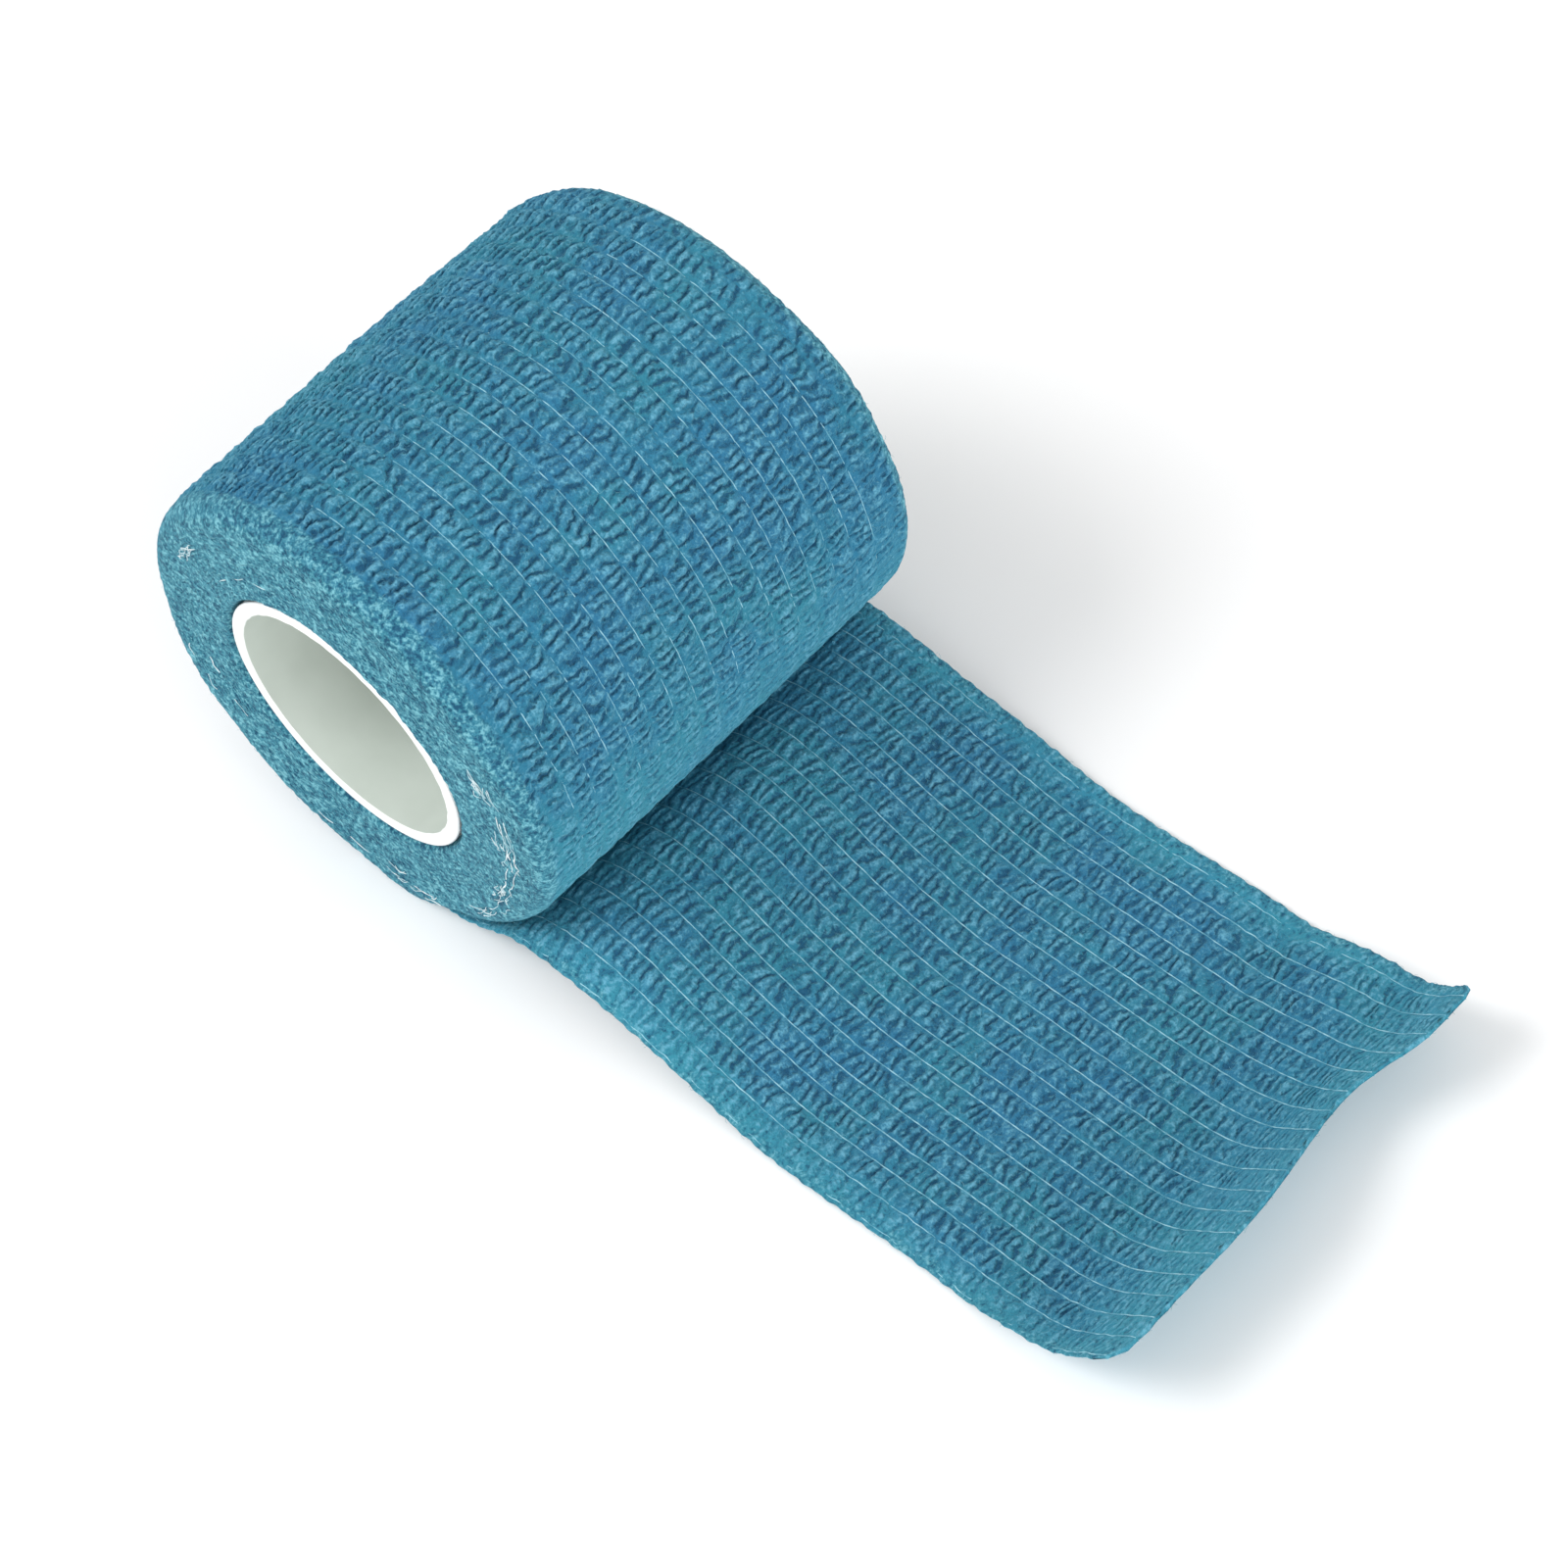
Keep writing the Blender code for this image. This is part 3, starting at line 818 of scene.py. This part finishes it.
def tailMiddle(x, y):  # the cloth's middle surface, and the way up from it
    moved = x - tipSetback(y) * smoothstep(looseEnd["tipX"] - looseEnd["cornerBlend"], looseEnd["tipX"], x)
    scallops = 0.00005 * np.sin(2300 * moved) + 0.00004 * np.sin(4100 * moved + y * 90)
    drawnIn = 0.0014 * (1 - smoothstep(looseEnd["rootX"], 0.0095, x)) * np.sign(y)
    sideWander = (0.00018 * np.sin(210 * moved) + scallops - drawnIn) * (y / halfWidth) ** 4
    reach = 0.0004
    rise = tailHeight(moved + reach, y) - tailHeight(moved - reach, y)
    tilt = np.arctan2(rise, 2 * reach)
    up = np.stack([-np.sin(tilt), np.zeros_like(tilt), np.cos(tilt)], -1)
    under = np.stack([moved, y + sideWander, tailHeight(moved, y)], -1)
    return under + up * looseEnd["middleLift"], up


def tailRows():  # places along X, evenly spaced along the cloth
    x = np.linspace(looseEnd["rootX"], looseEnd["tipX"], 4000)
    z = tailHeight(x, np.zeros_like(x))
    length = np.concatenate([[0], np.cumsum(np.hypot(np.diff(x), np.diff(z)))])
    count = int(round(length[-1] / looseEnd["rowStep"]))
    return np.interp(np.linspace(0, length[-1], count + 1), length, x), length[-1]


def closingTriangles(upper, lower, upperY, lowerY):  # between two rows of points that run the same way
    triangles, i, j = [], 0, 0
    while i < len(upper) - 1 or j < len(lower) - 1:
        if j == len(lower) - 1 or (i < len(upper) - 1 and upperY[i + 1] <= lowerY[j + 1]):
            triangles.append((upper[i], upper[i + 1], lower[j]))
            i += 1
        else:
            triangles.append((upper[i], lower[j + 1], lower[j]))
            j += 1
    return triangles


def easedTo(share, where):  # from 1 down to the share, as where goes from 0 to 1
    return 1 - (1 - share) * where


def buildLooseEnd():
    settings = looseEnd
    rowX, length = tailRows()
    overY = acrossStations(settings["nearY"], settings["farY"], cloth["cellStations"])
    underY = acrossStations(settings["nearY"], settings["farY"], settings["underStations"])
    sides = []
    for stations, sign in ((overY, 1), (underY[::-1], -1)):
        x, y = np.meshgrid(rowX, stations, indexing="ij")
        middle, up = tailMiddle(x, y)
        fromEdge = np.minimum(y - settings["nearY"], settings["farY"] - y)
        halfThick = cloth["thickness"] / 2 * (0.5 + 0.5 * smoothstep(0, 0.0004, fromEdge))
        curl = easedTo(settings["curlCrinkle"], smoothstep(settings["curlFrom"], settings["tipX"], x))
        edge = 1 - smoothstep(0.0006, 0.0022, fromEdge)
        beside = easedTo(settings["rootCrinkle"], 1 - smoothstep(0.018, 0.036, x))
        along = easedTo(settings["edgeCrinkle"], 1 - smoothstep(0.0010, 0.0046, fromEdge))
        amount = smoothstep(settings["rootX"], 0.006, x) * np.minimum(curl, np.minimum(beside, along))
        sides.append({
            "points": middle + up * (sign * halfThick)[..., None],
            "lift": up * sign,
            "lane": laneOf(y),
            "felt": np.maximum(0.50 * edge, 0.40 * smoothstep(0.084, 0.0912, x)),
            "amount": amount * (1 if sign > 0 else settings["underShare"]),
        })
    joined = {key: np.concatenate([half[key] for half in sides], 1) for key in sides[0]}
    rows, columns = joined["lane"].shape
    caps = []
    for row in (0, rows - 1):
        upper = row * columns + np.arange(len(overY))
        lower = row * columns + columns - 1 - np.arange(len(underY))
        made = np.array(closingTriangles(upper, lower, overY, underY))
        caps.append(made[:, ::-1] if row else made)
    steps = 1000 + np.linspace(0, length, rows)[:, None] / cloth["crinkleOnTail"]
    joined.update(triangles=np.concatenate(caps), joinRows=False, steps=steps, loose=0, dip=0)
    return crinkled(settings, shellFromGrid("looseEnd", **joined)), length


looseEndPiece, looseEndLength = buildLooseEnd()
print("loose end:", countTriangles(looseEndPiece), "triangles,", round(looseEndLength * 1000, 1), "mm long")


# ---- the elastic yarns, which follow the cloth in the valleys between its puffs

yarn = {
    "thicknessOnRoll": 0.00012,
    "thicknessOnTail": 0.00013,
    "thinnest": 0.6,  # as a share of the thickness
    "step": 0.0005,
    "waverOnRoll": 0.00015,
    "waverOnTail": 0.00011,
    "reach": 0.0210,  # on the roll, the yarns beyond this from the middle are under the felt
    "proudOnRoll": -0.00021,
    "buriedFrom": math.radians(178),  # where the crinkles run across them, the yarns lie deeper
    "buriedTo": math.radians(205),
    "buriedBy": 0.00022,
    "proudOnTail": 0.00013,
    "prouderAtCut": 0.00009,  # so that they show through the felt up to the cut
    "leastHeight": 0.0003,  # above the ground
}


def yarnTreeOf():
    made = GeometryTree("yarnAlongCloth", "Thickness", "Waver", "Seed")
    shifted = made.seededPosition()
    drift = noiseOf(shifted, 620.0, 2.0, 0.5, "Color")
    centred = vectorMath("SUBTRACT", drift, (0.5, 0.5, 0.5))
    waver = vectorMath("SCALE", centred, made.given("Waver") * 2.0)
    evenness = noiseOf(shifted, 1400.0, 1.0).over(0.36, 0.60, yarn["thinnest"], 1.0)
    thick = made.outOf("GeometryNodeSetCurveRadius", Curve=made.moved(waver), Radius=evenness)
    made.finish(made.tube(thick, 5, Scale=evenness))
    return made


yarnTree = yarnTreeOf()


def polylines(name, lines):  # one curve object with a straight-pieced spline for each line
    curve = bpy.data.curves.new(name, "CURVE")
    curve.dimensions = "3D"
    for line in lines:
        spline = curve.splines.new("POLY")
        spline.points.add(len(line) - 1)
        flat = np.concatenate([line, np.ones((len(line), 1))], 1).astype(np.float32).ravel()
        spline.points.foreach_set("co", flat)
    return addObject(name, curve)


def buildYarns():
    places = (np.arange(cloth["yarnCount"]) - (cloth["yarnCount"] - 1) / 2) * cloth["yarnPitch"]
    places = places + cloth["yarnShift"]
    count = int(winding["radius"] * 2 * math.pi / yarn["step"])
    angle = winding["stepAngle"] + np.linspace(0.02, 2 * math.pi - winding["stepSlit"], count)
    rollLines = []
    buried = yarn["buriedBy"] * smoothstep(yarn["buriedFrom"], yarn["buriedTo"], angle)
    for y in places[np.abs(places) < yarn["reach"]]:
        radius = turnRadius(angle) + sideUnevenness(angle, y) + yarn["proudOnRoll"] - buried
        rollLines.append(np.maximum(aroundRoll(angle, radius, y), (-1, -1, yarn["leastHeight"])))
    rowX, length = tailRows()
    shares = np.linspace(0, 1, int(length / yarn["step"]))
    stepped = np.interp(shares, np.linspace(0, 1, len(rowX)), rowX)
    proud = yarn["proudOnTail"] + yarn["prouderAtCut"] * smoothstep(0.080, 0.089, stepped)[:, None]
    tailLines = []
    for y in places:
        middle, up = tailMiddle(stepped, np.full_like(stepped, y))
        tailLines += [middle + up * proud, middle - up * proud]
    kinds = (("rollYarns", rollLines, "OnRoll", 1.0), ("looseEndYarns", tailLines, "OnTail", 2.0))
    return [
        yarnTree.applyTo(
            polylines(name, lines), yarnMaterial,
            Thickness=yarn["thickness" + where], Waver=yarn["waver" + where], Seed=seed,
        )
        for name, lines, where, seed in kinds
    ]


rollYarns, looseEndYarns = buildYarns()
print("yarns:", countTriangles(rollYarns, looseEndYarns), "triangles")


# ---- cut yarn ends, drawn out in a few places between the turns

cutYarns = {
    "thickness": 0.00009,
    "points": 7,
    "proud": 0.00012,
    "waver": 0.00008,
    "lengths": (0.0007, 0.0026),
    "insideMargin": 0.0008,  # from the core
    "outermost": 0.0242,
    "clusters": {  # on the near end: where round the roll, how far out, how wide, how many
        "degrees": (107, 84, 60, 40, 2, 229, 300),
        "radius": (0.0207, 0.0214, 0.0212, 0.0220, 0.0221, 0.0214, 0.0215),
        "spread": (0.0012, 0.0022, 0.0024, 0.0012, 0.0030, 0.0009, 0.0040),
        "count": (12, 17, 13, 5, 7, 10, 4),
    },
    "arcs": {  # single yarns that show along an outer or inner turn
        "fromDegrees": (195, 112, 100, 20),
        "toDegrees": (232, 30, 52, -25),
        "radius": (0.0176, 0.0218, 0.0209, 0.0224),
    },
    "farCount": 60,
    "farRadii": (0.017, 0.0232),
    "farSpread": 0.001,
}


def buildCutYarns():
    settings = cutYarns
    random = np.random.default_rng(cloth["seed"])
    lines = []

    def drawOut(degrees, radius, spread, side):
        start = math.radians(degrees) + random.normal(0, spread / radius)
        level = radius + random.normal(0, spread * 0.35)
        reach = random.uniform(*settings["lengths"])
        share = np.linspace(0, 1, settings["points"])
        angle = start + reach / level * share
        wave = 0.00015 * np.sin(share * random.uniform(3, 9) + random.uniform(0, 6))
        radii = level + wave + random.normal(0, 0.00022) * share
        radii = np.clip(radii, coreRadius + settings["insideMargin"], settings["outermost"])
        proud = settings["proud"] + 0.00016 * np.sin(share * math.pi) * random.uniform(0, 1.5)
        lines.append(aroundRoll(angle, radii, endPosition(angle, radii, side) + side * proud))

    for start, stop, radius in zip(*settings["arcs"].values()):
        angle = np.radians(np.linspace(start, stop, 60))
        radii = radius + 0.00012 * np.sin(9 * angle) + 0.00006 * np.sin(47 * angle)
        proud = 0.00004 + 0.00010 * np.sin(31 * angle)
        lines.append(aroundRoll(angle, radii, endPosition(angle, radii, -1) - proud))
    for degrees, radius, spread, count in zip(*settings["clusters"].values()):
        for _ in range(count):
            drawOut(degrees, radius, spread, -1)
    for _ in range(settings["farCount"]):
        drawOut(random.uniform(0, 360), random.uniform(*settings["farRadii"]), settings["farSpread"], 1)
    made = polylines("cutYarnEnds", lines)
    return yarnTree.applyTo(
        made, yarnEndMaterial, Thickness=settings["thickness"], Waver=settings["waver"], Seed=5.0
    )


cutYarnEnds = buildCutYarns()
print("cut yarn ends:", countTriangles(cutYarnEnds), "triangles")


# ---- fibres that stand off the felted cloth

fuzz = {
    "length": 0.00085,
    "thickness": 0.035,  # as a share of the length
    "onEnds": 5.5e5,  # fibres on a square metre
    "onCloth": 1.3e5,
    "onEdges": 3.0e6,
    "endFrom": 0.0226,  # along Y, the ends' fibres grow beyond this
    "sideTo": 0.0240,  # and the side's fibres up to this
    "sideRadii": (0.0230, 0.0236),  # and outside these
}


def fibreTreeOf():
    made = GeometryTree("looseFibres", "Density", "Length", "Thickness", Seed="Int")
    density = made.given("Density") * made.attribute("fuzz")
    spread = made.node(
        "GeometryNodeDistributePointsOnFaces", {"distribute_method": "RANDOM"},
        Mesh=made.given("Geometry"), Density=density, Seed=made.given("Seed"),
    )
    curve = made.outOf(
        "GeometryNodeCurveQuadraticBezier", Resolution=4,
        Start=(-0.5, 0.0, -0.06), Middle=(0.05, 0.25, 0.34), End=(0.5, -0.1, 0.10),
    )
    turn = made.node("FunctionNodeRandomValue", {"data_type": "FLOAT_VECTOR"})
    turn.inputs[0].default_value = (-0.5, -0.7, 0.0)
    turn.inputs[1].default_value = (0.5, 0.4, 2 * math.pi)
    size = made.node("FunctionNodeRandomValue", {"data_type": "FLOAT"})
    for socket, value in zip([s for s in size.inputs if s.enabled], (0.45, 1.0)):
        socket.default_value = value
    tipped = made.outOf("FunctionNodeEulerToRotation", Euler=made.out(turn))
    rotation = made.outOf(
        "FunctionNodeRotateRotation", {"rotation_space": "LOCAL"},
        Rotation=made.out(spread, "Rotation"), Rotate_By=tipped,
    )
    made.finish(made.outOf(
        "GeometryNodeInstanceOnPoints", Points=made.out(spread, "Points"), Instance=made.tube(curve, 3),
        Rotation=rotation, Scale=made.out(size) * made.given("Length"),
    ))
    return made


fibreTree = fibreTreeOf()


def growFibres(name, source, density, seed, share):  # share gives how much grows at each point
    ground = addObject(name, source.data.copy())
    points = pointsOf(ground.data)
    giveAttributes(ground, (len(points),), fuzz=share(points))
    size = {"Length": fuzz["length"], "Thickness": fuzz["thickness"]}
    return fibreTree.applyTo(ground, fibreMaterial, Density=density, Seed=seed, **size)


def onRoll(low, high, points):  # grows from these radii outwards, and nothing into the ground
    outside = smoothstep(low, high, np.hypot(points[:, 0], points[:, 2] - axisHeight))
    return outside * smoothstep(0.0006, 0.0014, points[:, 2])


def onRollEnd(points):
    offCore = onRoll(coreRadius + 0.0002, coreRadius + 0.0006, points)
    return offCore * (np.abs(points[:, 1]) > fuzz["endFrom"])


def onRollSide(points):
    return onRoll(*fuzz["sideRadii"], points) * (np.abs(points[:, 1]) < fuzz["sideTo"])


def onCutEdges(points):
    fromEdge = np.minimum(points[:, 1] - looseEnd["nearY"], looseEnd["farY"] - points[:, 1])
    atEdge = 1 - smoothstep(0.0, 0.0005, fromEdge)
    atCut = 1 - smoothstep(0.0, 0.0006, looseEnd["tipX"] - tipSetback(points[:, 1]) - points[:, 0])
    body = 0.05 * (points[:, 0] > 0.024)
    return np.clip(np.maximum(atEdge, atCut), body, 1) * (points[:, 0] > 0.022) * (points[:, 2] > 0.0005)


nearFibres = growFibres("fibresOnNearEnd", nearEnd, fuzz["onEnds"], 1, onRollEnd)
farFibres = growFibres("fibresOnFarEnd", farEnd, fuzz["onEnds"], 2, onRollEnd)
wrapFibres = growFibres("fibresOnRoll", wrapPiece, fuzz["onCloth"], 3, onRollSide)
edgeFibres = growFibres("fibresOnLooseEnd", looseEndPiece, fuzz["onEdges"], 4, onCutEdges)
print("fibres:", countTriangles(nearFibres, farFibres, wrapFibres, edgeFibres), "triangles")


# ---- the core

core = {
    "segments": 192,
    "wall": 0.0015,
    "outerRounding": 0.0002,
    "lip": 0.00012,  # width and depth of the slope that leads into the bore
    "stations": 20,
    "waver": 0.00006,
}


def buildCore():
    half = (coreHigh.y - coreLow.y) / 2
    rounding, lip, bore = core["outerRounding"], core["lip"], coreRadius - core["wall"]
    bend = np.linspace(0, math.pi / 2, 5)
    # rim, slope and bore: radius, place along the axis, and a colour share, 1 for the plastic's white and 0
    # for the painted shade inside the bore
    rim = [(coreRadius - rounding * (1 - math.cos(b)), half - rounding * (1 - math.sin(b)), 1) for b in bend]
    slope = ((1.06, 0, 1), (0.9, 0.08, 1), (0.12, 0.90, 1), (0, 1.05, 0.9), (0, 1.2, 0))
    rim += [(bore + lip * out, half - lip * inwards, tone) for out, inwards, tone in slope]
    straight = np.linspace(-half + lip * 1.5, half - lip * 1.5, core["stations"])
    profile = [(coreRadius, y, 1) for y in straight] + rim + [(bore, y, 0) for y in straight[::-1]]
    profile += [(radius, -y, tone) for radius, y, tone in rim[::-1]]
    radius, level, tone = np.array(profile).T
    angle = np.linspace(0, 2 * math.pi, core["segments"], endpoint=False)[:, None]
    onLip = (np.abs(level) > half - 1.2 * lip) & (radius < bore + 1.1 * lip)
    wobble = core["waver"] * (0.5 * np.sin(23 * angle) + 0.5 * np.sin(41 * angle + 1)) * onLip[None, :]
    points = aroundRoll(angle, radius[None, :] + wobble, np.broadcast_to(level, (len(angle), len(level))))
    piece = shellFromGrid("coreTube", points, rim=tone)
    piece.data.materials.append(coreMaterial)
    return piece


corePiece = buildCore()
print("core:", countTriangles(corePiece), "triangles")


# ---- riding and replacing

pieces = [wrapPiece, nearEnd, farEnd, rollYarns, cutYarnEnds, wrapFibres, nearFibres, farFibres]
pieces += [looseEndPiece, looseEndYarns, edgeFibres, corePiece]
for piece in pieces:
    piece.data.shade_smooth()
    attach(piece, "root")
    "core_plastic" if piece == corePiece else "bandage_cloth"
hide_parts("wound_roll")
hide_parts("loose_end")
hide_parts("core_tube")


# ---- floor, light and camera

studio = {
    "floorSize": 3.0,
    "floorDrop": 0.00002,
    "floorColour": (0.92, 0.92, 0.92, 1),
    "worldStrength": 0.72,
    "keyPower": 5.4,
    "keyPlace": (-0.38, -0.50, 0.76),
    "keySize": 0.5,
    "fillPower": 6.2,
    "fillPlace": (0.88, -0.14, 0.26),
    "fillSize": 0.8,
    "aim": (0.03, 0, 0.01),
}


def buildStudio():
    corners = studio["floorSize"] / 2 * np.array([(-1, -1, 0), (1, -1, 0), (1, 1, 0), (-1, 1, 0)])
    floor = meshFromArrays("floor", corners - (0, 0, studio["floorDrop"]), np.array([[0, 1, 2, 3]]))
    material, _, shader = newMaterial("paleFloor", 0.9, Specular_IOR_Level=0.1)
    shader.inputs["Base Color"].default_value = studio["floorColour"]
    floor.data.materials.append(material)
    world = bpy.data.worlds.new("softStudio")
    world.use_nodes = True
    background = world.node_tree.nodes["Background"].inputs
    background["Color"].default_value = (1, 1, 1, 1)
    background["Strength"].default_value = studio["worldStrength"]
    bpy.context.scene.world = world
    for name in ("key", "fill"):
        data = bpy.data.lights.new(name + "Light", "AREA")
        data.energy = studio[name + "Power"]
        data.size = studio[name + "Size"]
        lamp = addObject(name + "Light", data)
        lamp.location = studio[name + "Place"]
        lamp.rotation_euler = (Vector(studio["aim"]) - lamp.location).to_track_quat("-Z", "Y").to_euler()
    bpy.context.scene.view_settings.view_transform = "Standard"


view = {  # worked out from the photo's perspective
    "azimuth": math.radians(52.577),
    "elevation": math.radians(54.434),
    "roll": math.radians(-12.071),
    "distance": 0.50619,
    "target": (-0.010987, 0.031914, -0.058465),
    "lens": 103.33,
    "sensor": 36,
}


def buildCamera():
    a, e, r = view["azimuth"], view["elevation"], view["roll"]
    back = Vector((math.sin(a) * math.cos(e), -math.cos(a) * math.cos(e), math.sin(e)))
    right = (-back).cross(Vector((0, 0, 1))).normalized()
    up = right.cross(-back)
    turnedRight = right * math.cos(r) + up * math.sin(r)
    turnedUp = up * math.cos(r) - right * math.sin(r)
    data = bpy.data.cameras.new("camera")
    data.sensor_width = view["sensor"]
    data.lens = view["lens"]
    data.clip_start = 0.01
    camera = addObject("camera", data)
    turn = Matrix((turnedRight, turnedUp, back)).transposed()
    place = Vector(view["target"]) + back * view["distance"]
    camera.matrix_world = Matrix.Translation(place) @ turn.to_4x4()
    bpy.context.scene.camera = camera


buildStudio()
buildCamera()
print("studio and camera placed")
